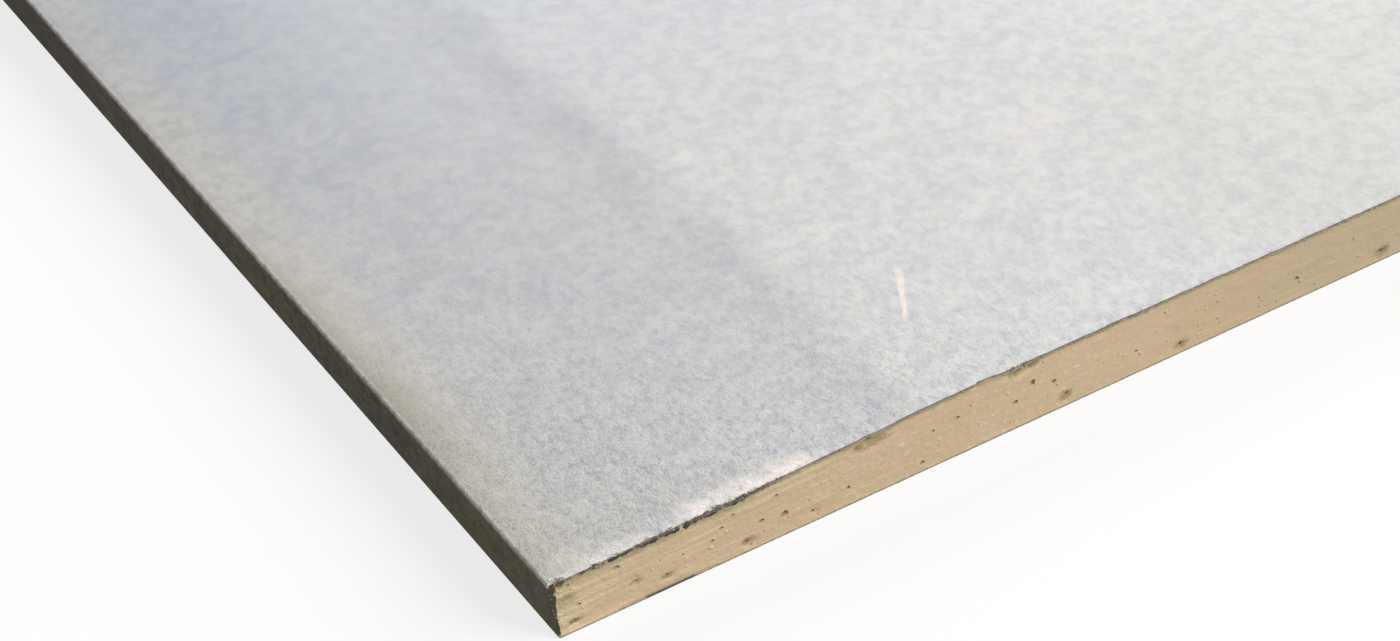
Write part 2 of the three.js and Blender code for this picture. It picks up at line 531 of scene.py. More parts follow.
# Nicks in the face paper of the front cut: place, reach to the left, reach to the right and depth.
PLACED_NICKS = (
    (71.6, 0.5, 5.5, 0.3), (-0.3, 1.6, 1.4, 0.25), (20.1, 0.4, 0.4, 0.15), (50.8, 1.2, 3.5, 0.15),
    (8.3, 0.6, 0.8, 0.15), (12.6, 0.5, 0.6, 0.15), (97, 1.2, 2.6, 0.15),
)


def crushed(x, end):
    """How badly the knife crushed the paper at this place along a cut, from 0 to 1."""
    if end == FRONT and x < FINE_END:
        at = (x - LEFT_EDGE) / MM
        return max(
            strength * ease(at, start, full) * (1 - ease(at, until, stop))
            for start, full, until, stop, strength in PLACED_CRUSHES
        )
    return 0.9 * ease(rough(x, 0, 45 * MM, 20 + end), 0.25, 0.5)


def nicked(x, end):
    """How far a nick pushes the cut edge of the face paper in."""
    if end == FRONT and x < FINE_END:
        at = (x - LEFT_EDGE) / MM
        return max(
            depth * MM * ease(at, place - left, place) * (1 - ease(at, place, place + right))
            for place, left, right, depth in PLACED_NICKS
        )
    return 0.4 * MM * ease(rough(x, 0, 7 * MM, 23 + end), 0.55, 0.75)


print("the front cut is crushed up to", max(crushed(LEFT_EDGE + at * MM, FRONT) for at in range(200)))


# %% Wear the edges of a paper
def fray(corner, end, lip):
    """Moves one corner of a cut edge in, and hangs the lip of the paper over the plaster."""
    x, z = corner.co.x, corner.co.z
    flat = abs(x) < SIDE_START
    along = x if flat else x + math.copysign(z, x)
    on_face = z > MID_HEIGHT
    worn = crushed(x, end) if on_face else 0
    slow, quick, thready = (rough(along, 0, size * MM, 30 + end) for size in (4.5, 1.4, 0.6))
    back = WANDER * (1.0 + 0.9 * slow + (0.7 + worn) * quick + (0.4 + worn) * thready)
    back = min(max(back, 0), MOST_BACK) * (1 if on_face else 0.4)
    corner.co.y -= end * (back + nicked(x, end) * ease(z, *ARRIS))
    ragged = max(0.9 + 0.7 * slow + 0.8 * quick + 0.5 * thready, 0.1)
    if lip and flat and on_face:
        corner.co.z -= (LIP + (CRUSHED_LIP - LIP) * worn) * ragged
    elif lip and not flat:
        corner.co.x -= math.copysign((0.12 + 0.65 * ease(z, 4 * MM, 10 * MM)) * MM * ragged, x)
    elif on_face:
        corner.co.z -= ROLL * worn * (0.6 + 0.4 * quick)
        corner.co.z -= ARRIS_ROLL * (1 - 0.6 * worn) * (1 + 0.8 * slow + 0.5 * quick)


def wave_long_edges(mesh):
    """Presses the long edges in and out a little."""
    for corner in mesh.verts:
        x, y, z = corner.co
        share = ease(abs(x), SIDE_START, HALF_WIDTH)
        if share:
            side = math.copysign(1, x)
            wave = 1 + 0.6 * rough(y, side, 38 * MM, 50) + 0.4 * rough(y, side, 14 * MM, 52)
            corner.co.x -= side * EDGE_WAVE * wave * share


def feather(mesh):
    """Spreads the lower corner of the back paper's long edges under the rising flaps, next to the cuts."""
    for corner in mesh.verts:
        if abs(corner.co.x) > BACK_EDGE - TOUCH and corner.co.z < 0.1 * MM:
            from_cut = HALF_LENGTH - abs(corner.co.y)
            corner.co.x += math.copysign(FEATHER, corner.co.x) * (1 - ease(from_cut, 1 * MM, 4 * MM))


print("the long edges wave by up to", round(2 * EDGE_WAVE / MM, 2), "mm")


# %% Build a paper
def build_paper(node):
    """A CAD paper with frayed cut ends and gently waving long edges. Its cut faces take material 1."""
    mesh = opened_paper(node)
    divide_rows(mesh)
    mesh.normal_update()
    inner = {corner for face in mesh.faces if facing(face) < 0 for corner in face.verts}
    second_row = [
        corner for corner in mesh.verts if any(in_row(corner, end, LAST_ROWS[0]) for end in (FRONT, REAR))
    ]
    cut = close_ends(mesh)
    for face in cut:
        face.material_index = 1
    for corner in {corner for face in cut for corner in face.verts}:
        end = math.copysign(1, corner.co.y)
        fray(corner, end, corner in inner)
        if node == "face_paper" and corner.co.z < FLAP_TOP:
            corner.co.y = end * (HALF_LENGTH - FLAP_BACK)
    for corner in second_row:
        if corner.co.z > MID_HEIGHT and corner not in inner and abs(corner.co.x) < SIDE_START:
            end = math.copysign(1, corner.co.y)
            corner.co.y -= end * nicked(corner.co.x, end)
            corner.co.z -= 0.4 * ROLL * crushed(corner.co.x, end)
    wave_long_edges(mesh)
    if node == "back_paper":
        feather(mesh)
    print("the whole", node, "has", len(mesh.faces), "faces")
    return mesh


# %% [markdown]
# ## Writing shaders as arithmetic
#
# A finish is a formula: so much of this colour where the edge is near, a little more where the noise is
# high. Wiring that by hand hides the formula, so a small class wraps a socket, and arithmetic on it adds
# the Math nodes. Every other node comes from one method. All distances in the formulas are millimetres.


# %% A socket that can be reckoned with
def fill(inputs, values):
    """Gives each named input its value or its link."""
    for name, value in values.items():
        if isinstance(value, Shade):
            value.tree.links.new(value.socket, inputs[name])
        else:
            inputs[name].default_value = value


class Shade:
    """An output socket of a material. Arithmetic on it adds Math nodes to the same material."""

    def __init__(self, tree, socket=None):
        self.tree, self.socket = tree, socket

    def node(self, kind, settings, inputs, output=0):
        """Adds a node of any kind: its settings first, then a value or a link for each input."""
        made = self.tree.nodes.new(kind)
        for name, value in settings.items():
            setattr(made, name, value)
        fill(made.inputs, inputs)
        return Shade(self.tree, made.outputs[output])

    def math(self, operation, first, second=0.0):
        return self.node("ShaderNodeMath", {"operation": operation}, {0: first, 1: second})

    def __add__(self, other):
        return self.math("ADD", self, other)

    __radd__ = __add__

    def __sub__(self, other):
        return self.math("SUBTRACT", self, other)

    def __rsub__(self, other):
        return self.math("SUBTRACT", other, self)

    def __mul__(self, other):
        return self.math("MULTIPLY", self, other)

    __rmul__ = __mul__

    def __truediv__(self, other):
        return self.math("DIVIDE", self, other)

    def __rtruediv__(self, other):
        return self.math("DIVIDE", other, self)

    def __pow__(self, other):
        return self.math("POWER", self, other)

    def __abs__(self):
        return self.math("ABSOLUTE", self)

    def over(self, other):
        """The larger of the two."""
        return self.math("MAXIMUM", self, other)

    def rise(self, low, high):
        """0 at low, 1 at high and a smooth slope between. With low above high it falls instead."""
        return self.node(
            "ShaderNodeMapRange", {"interpolation_type": "SMOOTHSTEP"},
            {"Value": self, "From Min": low, "From Max": high},
        )

    def noise(self, size, detail=2.0, roughness=0.5, output="Fac"):
        """Noise at this point, with bumps of that many millimetres."""
        return self.node(
            "ShaderNodeTexNoise", {},
            {"Vector": self, "Scale": 1 / size, "Detail": detail, "Roughness": roughness}, output,
        )

    def moved(self, offset=(0, 0, 0), turn=0.0, stretch=(1, 1, 1)):
        """This point in a pattern that is moved, turned about Z and stretched along its own axes."""
        return self.node(
            "ShaderNodeMapping", {"vector_type": "TEXTURE"},
            {"Vector": self, "Location": offset, "Rotation": (0, 0, turn), "Scale": stretch},
        )

    def towards(self, colour, share):
        """This colour, moved towards another by a share from 0 to 1."""
        return self.node("ShaderNodeMix", {"data_type": "RGBA"}, {0: share, 6: self, 7: colour}, 2)


# %% Start and finish a material
def new_finish(name):
    """A new material, and the point being shaded in millimetres."""
    material = bpy.data.materials.new(name)
    material.use_nodes = True
    point = Shade(material.node_tree).node("ShaderNodeTexCoord", {}, {}, "Object")
    point = point.node("ShaderNodeVectorMath", {"operation": "SCALE"}, {0: point, "Scale": 1 / MM})
    return material, point


def layered(point, ground, *layers):
    """A ground colour with others laid over it in turn, each by its own share from 0 to 1."""
    ground = (*ground, 1)
    colour = point.node("ShaderNodeMix", {"data_type": "RGBA"}, {0: 0.0, 6: ground, 7: ground}, 2)
    for tint, share in layers:
        colour = colour.towards((*tint, 1), share)
    return colour


def finished(material, colour, roughness, height, depth):
    """Finishes a material. Its bumps have a height from 0 to 1, which stands for so many metres."""
    bump = height.node("ShaderNodeBump", {}, {"Height": height, "Strength": 1.0, "Distance": depth})
    shader = material.node_tree.nodes["Principled BSDF"]
    fill(shader.inputs, {"Base Color": colour, "Roughness": roughness, "Normal": bump})
    print(material.name, "is mixed by", len(material.node_tree.nodes), "nodes")
    return material


# %% Places on the sheet
def axes(point):
    """The three coordinates of a point, as numbers."""
    split = point.node("ShaderNodeSeparateXYZ", {}, {0: point})
    return [Shade(split.tree, output) for output in split.socket.node.outputs]


class Place:
    """Where the point being shaded lies, in millimetres."""

    def __init__(self, point):
        self.x, self.y, self.z = axes(point)
        self.side = HALF_WIDTH / MM - abs(self.x)  # in from the nearer long edge
        self.cut = HALF_LENGTH / MM - abs(self.y)  # in from the nearer cut
        self.left = self.x - LEFT_EDGE / MM  # from the left edge
        self.front = self.y + HALF_LENGTH / MM  # from the front cut
        self.marked = self.y.rise(-900, -1000)  # 1 near the front cut, where marks are placed one by one


# %% [markdown]
# ### Felted paper
#
# Face paper is a felt of short pale fibres over a blue-grey ground. Two patterns together look like one.
# A noise that is stretched and turned gives straight bristles. The line along which a noise passes its
# own middle value winds about like a curled hair, and a second noise cuts it into short lengths.

# %% Fibres
BRISTLE_TURNS = (0.4, 1.1, 1.8, 2.6)
HAIR_TURNS = (0.3, 1.0, 1.35, 1.7, 2.1, 2.7)


def curled(point, size, reach):
    """This point, drifting to and fro by up to `reach` millimetres, so that straight lines bend."""
    inputs = {0: point.noise(size, 1.0, 0.5, "Color"), 1: (reach,) * 3, 2: point}
    return point.node("ShaderNodeVectorMath", {"operation": "MULTIPLY_ADD"}, inputs)


def bristles(point, turn):
    """Fibres that lie in one direction, from 0 to 1."""
    return point.moved((31 * turn, 47 * turn, 0), turn, (1.6, 0.3, 0.3)).noise(1.0, 0.0).rise(0.55, 0.72)


def long_hairs(point, turn):
    """Long thin hairs that wind about one direction, from 0 to 1."""
    place = point.moved((53 * turn, 29 * turn, 0), turn, (3.4, 1, 1))
    line = abs(place.noise(1.5, 0.5) - 0.5).rise(0.045, 0.0)
    return line * point.moved((17 * turn, -41 * turn, 0)).noise(1.9, 0.0).rise(0.46, 0.54)


def fibre_felt(point):
    """How strongly a fibre shows at a point, from 0 to 1."""
    bending = curled(point, 2.4, 2.0)
    first, *others = [bristles(bending, turn) for turn in BRISTLE_TURNS]
    others += [long_hairs(point, turn) for turn in HAIR_TURNS]
    felt = first * 0.55
    for fibres in others:
        felt = felt.over(fibres * 0.55)
    return felt


print("the felt's fibres lie in", len(BRISTLE_TURNS + HAIR_TURNS), "directions")


# %% The paper's own colour
class PaperPatterns:
    """The noises that the face paper is mixed by, from fine to wide."""

    def __init__(self, point):
        self.felt = fibre_felt(point)
        self.grain = point.noise(0.4, 2.0, 0.7)
        self.flecks = point.moved((21, 13, 4), 0.0, (1, 1.6, 1)).noise(1.0, 1.5, 0.6)
        self.tufts = point.moved((8, 3, 5)).noise(1.6, 2.0, 0.6)
        self.tint = point.moved((15, 80, 2)).noise(2.6, 1.0, 0.7)
        self.mottle = point.moved((70, 20, 6)).noise(3.2, 1.6, 0.78)
        self.hue = point.moved((90, 40, 7)).noise(3.4, 3.0, 0.6)
        self.lilac = point.moved((30, 70, 9)).noise(6.0, 3.0, 0.6)
        self.clouds = point.noise(11.0, 3.0, 0.6)


def handling(at):
    """How rough hands have left the felt: 1 and more at the front left corner, and little far from it."""
    from_corner = (0.55 * at.left + 0.83 * at.front).over(0.0)
    return (1.25 / ((from_corner / 42) ** 2.5 + 1.0)).over(0.06)


def felt_layers(by, handled):
    """Warm, lilac and green patches, and darker and lighter flecks."""
    return (
        ((0.72, 0.695, 0.625), by.hue.rise(0.48, 0.7) * 0.45),
        ((0.605, 0.608, 0.67), by.lilac.rise(0.42, 0.65) * (handled * 0.25 + 0.38)),
        ((0.52, 0.525, 0.565), by.clouds.rise(0.58, 0.3) * (handled * 0.15 + 0.25)),
        ((0.43, 0.43, 0.465), by.mottle.rise(0.63, 0.33) * (handled * 0.06 + 0.22)),
        ((0.84, 0.825, 0.785), by.mottle.rise(0.37, 0.67) * (handled * 0.06 + 0.22)),
        ((0.64, 0.70, 0.64), by.tint.rise(0.4, 0.65) * 0.16),
        ((0.435, 0.445, 0.495), by.flecks.rise(0.5, 0.3) * 0.85 * handled),
        ((0.435, 0.44, 0.47), by.tufts.rise(0.5, 0.3) * 0.48 * handled),
        ((0.84, 0.80, 0.69), by.flecks.rise(0.54, 0.7) * 0.7 * handled),
        ((0.30, 0.30, 0.315), by.grain.rise(0.53, 0.36) * 0.38 * handled),
    )


# %% [markdown]
# The sheet's history lies over the felt. The taper is a little darker, most of all at its steep
# shoulder, and that darkening is painted shade. A warm and dirty strip runs along each long edge, and
# hands have left wide soft shades; the darker ones at the near corner and along the far left are partly
# painted shade. They could be painted as images. Here each is a distance from an edge, made uneven by one
# of the same patterns, so it is as sharp at the corner as from afar.


# %% The strips along the long edges
def edge_layers(point, at, by):
    """The painted shade of the taper and its shoulder, and warm, faded, rubbed and dirty strips."""
    patches = point.moved((61, 17, 3), 0.0, (1, 1.6, 1)).noise(9.0, 2.0).rise(0.4, 0.6)
    # The taper and its steep shoulder are darkened as painted shade of the slope that turns away from the
    # light.
    shoulder = (abs(at.side - 59.5) / 7).rise(1.0, 0.1) * (0.07 + 0.14 * patches)
    shoulder = shoulder * (0.6 + 0.7 * at.front.rise(12, 120))
    warm = (at.side + 6 * (by.clouds - 0.5)).rise(14, 3)
    faded = (at.left + 10 * (by.clouds - 0.5)).rise(9, 2) * by.tint.rise(0.35, 0.6) * at.front.rise(60, 110)
    rubbed = (abs(at.side - 6.0 + 5 * (by.hue - 0.5)) / 4.0).rise(1.0, 0.3) * by.tint.rise(0.45, 0.65)
    dirty = (abs(at.side - 4.5 + 6 * (by.hue - 0.5)) / 3.5).rise(1.0, 0.3) * by.clouds.rise(0.35, 0.6)
    edge_dirt = at.side.rise(4.5, 0.6) * at.front.rise(110, 60) * 0.3 + at.side.rise(2.2, 1.0) * 0.14
    old_stain = at.side.rise(7, 0.5) * (abs(at.front - 42) / 20).rise(1.0, 0.2)
    return (
        ((0.28, 0.30, 0.36), at.side.rise(64, 50) * 0.19 + shoulder),
        ((0.60, 0.55, 0.42), warm * (0.36 + 0.14 * at.front.rise(100, 50))),
        ((0.84, 0.80, 0.70), faded * 0.3 * at.front.rise(600, 300)),
        ((0.84, 0.79, 0.67), rubbed * 0.16),
        ((0.40, 0.36, 0.27), dirty * (0.08 + 0.24 * at.front.rise(70, 30))),
        ((0.30, 0.26, 0.20), edge_dirt),
        ((0.30, 0.27, 0.20), old_stain * 0.4),
    )


# %% Tints that hands have left, and painted shade
def tint_and_shade_layers(at):
    """The near corner's dirt, which is also painted shade, the darker blue-grey along the far left, which is
    partly painted shade, and wide blue and yellow tints.
    """
    # The near corner is darker, partly as dirt and partly as painted shade.
    corner_dirt_and_shade = 1.5 * at.left.rise(40, 24) * at.left.rise(2, 9) * at.front.rise(16, 4) * at.front.rise(2, 4.5)
    corner_dirt_and_shade = at.left.rise(28, 12) * at.front.rise(60, 10) + corner_dirt_and_shade
    blue_middle = at.front.rise(60, 140) * at.left.rise(20, 40) * at.left.rise(300, 100)
    return (
        ((0.40, 0.385, 0.36), corner_dirt_and_shade * 0.2),
        # The next layer darkens the far left strip to blue-grey, partly as painted shade.
        ((0.26, 0.37, 0.56), at.front.rise(50, 190) * at.left.rise(50, 20) * 0.23),
        ((0.66, 0.70, 0.79), blue_middle * 0.32),
        ((0.40, 0.38, 0.26), at.left.rise(105, 150) * at.front.rise(90, 30) * 0.18),
    )


# %% Marks on the face
# A long scratch near the front cut: its middle and half length in millimetres, and its direction.
SCRATCH_MIDDLE = (-532.7, -1195.7)
SCRATCH_TURN = math.radians(57.7)
SCRATCH_HALF = 8.2
# Soft pale spots: middle, radius and strength.
SPOTS = ((-541.2, -1147.3, 1.8, 0.2), (-533.7, -1177.3, 1.6, 0.2), (-488.0, -1172.0, 5.0, 0.15))


def face_marks(point):
    """The scratch, which gets wider towards its far end, and the spots, from 0 to 1."""
    along, across, _ = axes(point.moved((*SCRATCH_MIDDLE, 0), SCRATCH_TURN))
    wobble = point.noise(2.5, 2.0)
    off_line = abs(across + 1.0 * (wobble - 0.5)) / (along.rise(-6, 8) * 0.45 + 0.9)
    marks = abs(along).rise(SCRATCH_HALF, SCRATCH_HALF - 3) * off_line.rise(0.65, 0.2)
    marks = marks * (wobble.rise(0.35, 0.6) * 0.4 + 0.4)
    for x, y, radius, strength in SPOTS:
        away = axes(point.moved((x, y, 0), 0.5, (2 * radius, radius, 1)))
        spot = (away[0] * away[0] + away[1] * away[1] + (wobble - 0.5)).rise(1.0, 0.0)
        marks = marks.over(spot * strength)
    return marks


print("the scratch is", 2 * SCRATCH_HALF, "mm long")


def torn_layers(point, at, by):
    """The pale torn fringe of the cut, partly a painted highlight, the marks, the painted highlight where the
    paper turns round the long edge, and the painted shadow under the corner flake.
    """
    near_crush = (abs(at.left - 31) / 15).rise(1.0, 0.6) * at.front.rise(200, 100)
    near_corner = (abs(at.left - 9) / 8).rise(1.0, 0.5) * at.front.rise(200, 100)
    # The pale fringe along the cut is torn paper and partly a painted highlight of its rolled edge.
    fringe = (at.cut / (1.0 + 3.6 * near_crush + 2.0 * near_corner)).rise(1.0, 0.0)
    torn = 0.35 * by.tufts.rise(0.4, 0.6) + near_crush * by.hue.rise(0.3, 0.6) + near_corner * 0.45
    # A painted highlight where the paper turns round the long edge.
    fold_highlight = at.left.rise(-0.6, -0.95) * at.z.rise(9.8, 10.2) * (by.tufts.rise(0.4, 0.55) * 0.5 + 0.5)
    # A painted shadow under the lifted flake at the corner.
    flake_shadow = (abs(at.left - 0.6) / 0.9).rise(1.0, 0.6) * at.cut.rise(0.55, 0.3) * at.marked
    return (
        ((0.96, 0.88, 0.82), fringe * torn),
        ((1.0, 0.87, 0.79), face_marks(point)),
        ((0.97, 0.92, 0.84), fold_highlight),
        ((0.16, 0.14, 0.11), flake_shadow * by.grain.rise(0.3, 0.6)),
    )


# %% The brown of the long edges, darkened as painted shade
def long_edge_dirt_and_shade(point, at, by):
    """The paper down the long edges and under the sheet, which is browner and dirtier than the face, and also
    darkened as painted shade.
    """
    grime = point.moved((4, 4, 4), 0.0, (1, 1.8, 1)).noise(5.0, 4.0, 0.65)
    return layered(
        point, (0.215, 0.186, 0.10),
        ((0.30, 0.22, 0.13), grime.rise(0.52, 0.66)),
        ((0.135, 0.138, 0.085), by.clouds.rise(0.38, 0.62) * 0.9),
        ((0.40, 0.33, 0.21), by.tufts.rise(0.46, 0.72) * 0.5),
        ((0.05, 0.047, 0.033), by.tufts.rise(0.54, 0.26) * 0.8),
        ((0.06, 0.055, 0.04), by.grain.rise(0.56, 0.4) * at.front.rise(400, 60) * 0.45),
        ((0.5, 0.42, 0.3), by.felt * 0.45),
        ((0.42, 0.33, 0.29), at.z.rise(8.6, 9.8) * by.grain.rise(0.35, 0.6) * 0.4),
        ((0.40, 0.34, 0.20), at.front.rise(45, 10) * 0.28),
        ((0.085, 0.09, 0.075), at.front.rise(120, 220) * 0.45),
    )


# %% The face paper
def face_paper_finish():
    material, point = new_finish("felted face paper")
    at, by = Place(point), PaperPatterns(point)
    handled = handling(at)
    colour = layered(
        point, (0.70, 0.695, 0.69),
        *felt_layers(by, handled),
        *edge_layers(point, at, by),
        *tint_and_shade_layers(at),
        ((0.90, 0.88, 0.83), by.felt * 0.42 * handled),
        *torn_layers(point, at, by),
    )
    # The long edges and the flap underneath take the darker brown, which is partly painted shade.
    side = (at.z + 0.4 * (by.grain - 0.5) + 0.5 * (by.tufts - 0.5)).rise(10.2, 9.85) * at.side.rise(4.0, 3.0)
    colour = colour.towards(long_edge_dirt_and_shade(point, at, by), side.over(at.z.rise(2.0, 1.0)))
    height = (by.felt * 0.35 + by.grain * 0.25 + by.tufts * 0.7) * (handled + 0.1)
    return finished(material, colour, 0.66 - 0.12 * by.felt, height, 0.085 * MM)


face_finish = face_paper_finish()

# %% [markdown]
# ### Cut paper
#
# The paper is pressed from several plies. Only the outer ones are pale, so its cut edge is a dark line,
# dusty where it touches the plaster. A plain height would find that line on a flat sheet. Along the
# taper it sinks, so the top of the plaster is worked out from the distance to the long edge.


# %% Heights along the taper
def taper_line(from_side, near, far):
    """How deep the taper lies at a distance from the long edge, on the line through two places."""
    depths = [CORE_TOP - height_on(upper_line, HALF_WIDTH - place * MM) for place in (near, far)]
    slope = (depths[1] - depths[0]) / MM / (far - near)
    return from_side * slope + (depths[0] / MM - slope * near)


def below_core_top(at):
    """How far a place on a cut end lies below the top of the plaster."""
    taper = at.x.math("MINIMUM", taper_line(at.side, 2, 45), taper_line(at.side, 54, 62)).over(0.0)
    return CORE_TOP / MM - taper - at.z


print("at the long edge the plaster is", round((CORE_TOP - upper_line[1][-1]) / MM, 2), "mm lower")

# %% The cut edges of the papers
# Where pale face fibres hide the dark plies: distance from the left edge and half width, in millimetres.
PALE_TUFTS = ((8.4, 0.6), (12.5, 0.4), (20.1, 0.4), (71.2, 0.6))


def darker_foot(at):
    """Where the foot of the front cut is darker, from 0 to 1."""
    return (abs(at.left - 18.2) / 4.6).rise(1.0, 0.8) * at.marked


def cut_paper_finish():
    material, point = new_finish("torn paper plies")
    at, grain = Place(point), point.noise(0.5, 3.0, 0.65)
    below, on_end = below_core_top(at), at.side.rise(1.5, 3.0)
    dusty = (below + 0.3 * (grain - 0.5)).rise(-0.05, 0.4) * on_end
    crush = (abs(at.left - 18) / 17).rise(1.1, 0.9) * at.marked
    outer = below.rise(-0.16, -0.3) * on_end * at.z.rise(2.0, 3.0)
    tufts = [(abs(at.left - place + 1.2 * (grain - 0.5)) / half).rise(1.2, 0.6) for place, half in PALE_TUFTS]
    smeared = at.z.rise(1.0, 0.6) * (at.z + 0.3 * (grain - 0.5)).rise(0.08, 0.2) * on_end
    colour = layered(
        point, (0.24, 0.215, 0.155),
        ((0.47, 0.41, 0.31), grain.rise(0.46, 0.68)),
        ((0.56, 0.45, 0.29), dusty * 0.75),
        ((0.165, 0.15, 0.11), crush * (grain.rise(0.7, 0.5) * 0.35 + 0.55)),
        ((0.62, 0.59, 0.53), outer * (1 - crush) * 0.7),
        *[((0.40, 0.39, 0.31), tuft * at.z.rise(9.5, 10.2) * at.marked * 0.8) for tuft in tufts],
        ((0.035, 0.03, 0.025), at.z.rise(10.5, 10.2) * at.z.rise(0.5, 1.0) * grain.rise(0.72, 0.62) * 0.85),
        ((0.78, 0.61, 0.40), smeared * 0.9),
        ((0.10, 0.09, 0.065), darker_foot(at) * at.z.rise(0.65, 0.4) * 0.85),
    )
    return finished(material, colour, 0.9, grain, 0.1 * MM)


def back_plies_finish():
    material, point = new_finish("torn back plies")
    at, grain = Place(point), point.noise(0.6, 3.0, 0.65)
    colour = layered(
        point, (0.30, 0.26, 0.19),
        ((0.55, 0.46, 0.32), grain.rise(0.4, 0.65)),
        ((0.09, 0.08, 0.06), darker_foot(at) * 0.85),
    )
    return finished(material, colour, 0.9, grain, 0.1 * MM)


plies_finish = cut_paper_finish()
back_plies = back_plies_finish()


# %% The back paper
def back_paper_finish():
    """Paper made of waste paper: the same felt on a brown-grey ground, with dark specks."""
    material, point = new_finish("recycled back paper")
    felt, clouds = fibre_felt(point), point.noise(40.0, 5.0, 0.6)
    specks = point.moved((5, 9, 2)).noise(0.8, 1.0)
    colour = layered(
        point, (0.28, 0.245, 0.19),
        ((0.36, 0.32, 0.255), clouds.rise(0.3, 0.7)),
        ((0.48, 0.44, 0.37), felt * 0.4),
        ((0.07, 0.07, 0.07), specks.rise(0.72, 0.8) * 0.6),
    )
    return finished(material, colour, 0.85, felt, 0.05 * MM)


back_finish = back_paper_finish()

# %% [markdown]
# ### Plaster
#
# A cut through plaster is beige. In some places the blade has smeared it sideways, and in others it
# crumbled. Pits could be left to their own shade, but inside they are stained olive and also darkened as
# painted shade, so the colour knows how deep a place lies, and a number that the mesh carries says
# whether it is inside a pit.

# %% Smudges and painted shade on the plaster
# Olive smudges on the front cut, partly stain and partly painted shade in the hollows under the paper
# edge: distance from the left edge, height, half width and half height in millimetres, and strength.
SMUDGES_AND_SHADE = (
    (52.4, 10.1, 3.4, 0.9, 0.55), (50.2, 10.3, 1.0, 0.5, 0.7), (79.0, 11.2, 1.6, 1.2, 0.75),
    (82.0, 11.5, 2.0, 0.7, 0.6), (17.8, 2.3, 1.0, 0.7, 0.6), (31.2, 1.9, 1.1, 0.9, 0.6),
    (89.4, 2.1, 1.5, 1.2, 0.5), (12.7, 3.8, 1.2, 0.6, 0.35), (1.6, 5.9, 1.6, 0.9, 0.4),
    (2.8, 1.9, 1.1, 0.6, 0.7), (9.5, 8.2, 0.7, 0.4, 0.5), (1.2, 6.8, 1.3, 0.8, 0.35),
    (14.5, 9.5, 6.5, 0.7, 0.35), (26.0, 9.9, 6.5, 0.7, 0.4), (112.6, 1.6, 1.7, 0.9, 0.5),
    (156.2, 1.7, 1.9, 1.1, 0.5),
)
THROUGH = 1e6  # a smudge reaches any depth


class PlasterPatterns:
    """The noises that the plaster is mixed by."""

    def __init__(self, point, at):
        self.grain = point.noise(0.5, 4.0, 0.7)
        self.crumbs = point.moved((6, 1, 2)).noise(1.1, 1.0)
        self.smear = point.moved(stretch=(20, 1, 0.8)).noise(1.0, 3.0, 0.6)
        self.hue = point.moved((12, 5, 3)).noise(4.0, 3.0, 0.6)
        self.clouds = point.noise(9.0, 3.0, 0.55)
        broken = (at.left + 12 * (self.clouds - 0.5)).rise(35, 60)
        self.crumbly = broken * (at.left.rise(140, 105) * 0.7 + 0.3)


def smudge_and_shade_layers(point, at, by):
    """A layer for each of the smudges and painted shade patches: an oval whose outline the grain breaks up.
    """
    layers = []
    for place, height, wide, tall, share in SMUDGES_AND_SHADE:
        away = axes(point.moved((place + LEFT_EDGE / MM, 0, height), 0.0, (wide, THROUGH, tall)))
        spread = away[0] * away[0] + away[2] * away[2] + 3 * (by.grain - 0.5) + 1.5 * (by.crumbs - 0.5)
        layers.append(((0.33, 0.26, 0.11), spread.rise(1.5, -0.1) * at.marked * share * 1.35))
    return layers


# %% The plaster
def plaster_layers(at, by):
    """The plaster of a cut end before it got smudged: smeared or crumbly, and darker at its rims, which under
    the paper lip is dirt and painted shade.
    """
    below = below_core_top(at) + 0.35 * (by.crumbs - 0.5)
    pale = (abs(at.left - 6) / 6).rise(1.0, 0.2) * (abs(at.z - 5.8) / 2.4).rise(1.0, 0.2) * at.marked
    crumb_end = at.left.rise(130, 85)
    return (
        ((0.75, 0.60, 0.35), by.hue.rise(0.45, 0.65) * 0.4),
        ((0.86, 0.63, 0.44), by.clouds.rise(0.45, 0.7) * 0.7),
        ((0.97, 0.83, 0.56), by.smear.rise(0.52, 0.66) * (0.62 - 0.52 * by.crumbly)),
        ((0.62, 0.49, 0.29), by.smear.rise(0.46, 0.3) * (0.5 - 0.42 * by.crumbly)),
        ((1.0, 0.81, 0.56), by.crumbs.rise(0.61, 0.71) * 0.66 * by.crumbly * crumb_end),
        ((0.42, 0.33, 0.17), by.crumbs.rise(0.32, 0.24) * 0.5 * by.crumbly * crumb_end),
        # Darker just under the paper lip and at the near left top: dirt and painted shade.
        ((0.47, 0.37, 0.21), below.rise(1.5, 0.2) * 0.7),
        ((0.45, 0.36, 0.20), below.rise(2.8, 0.6) * at.left.rise(14, 8) * 0.5),
        ((0.60, 0.48, 0.315), at.left.rise(88, 150) * 0.5),
        ((0.45, 0.36, 0.21), at.z.rise(2.0, 0.8) * at.left.rise(10, 16) * 0.25),
        ((0.96, 0.81, 0.54), pale * by.smear.rise(0.4, 0.6) * 0.5),
    )


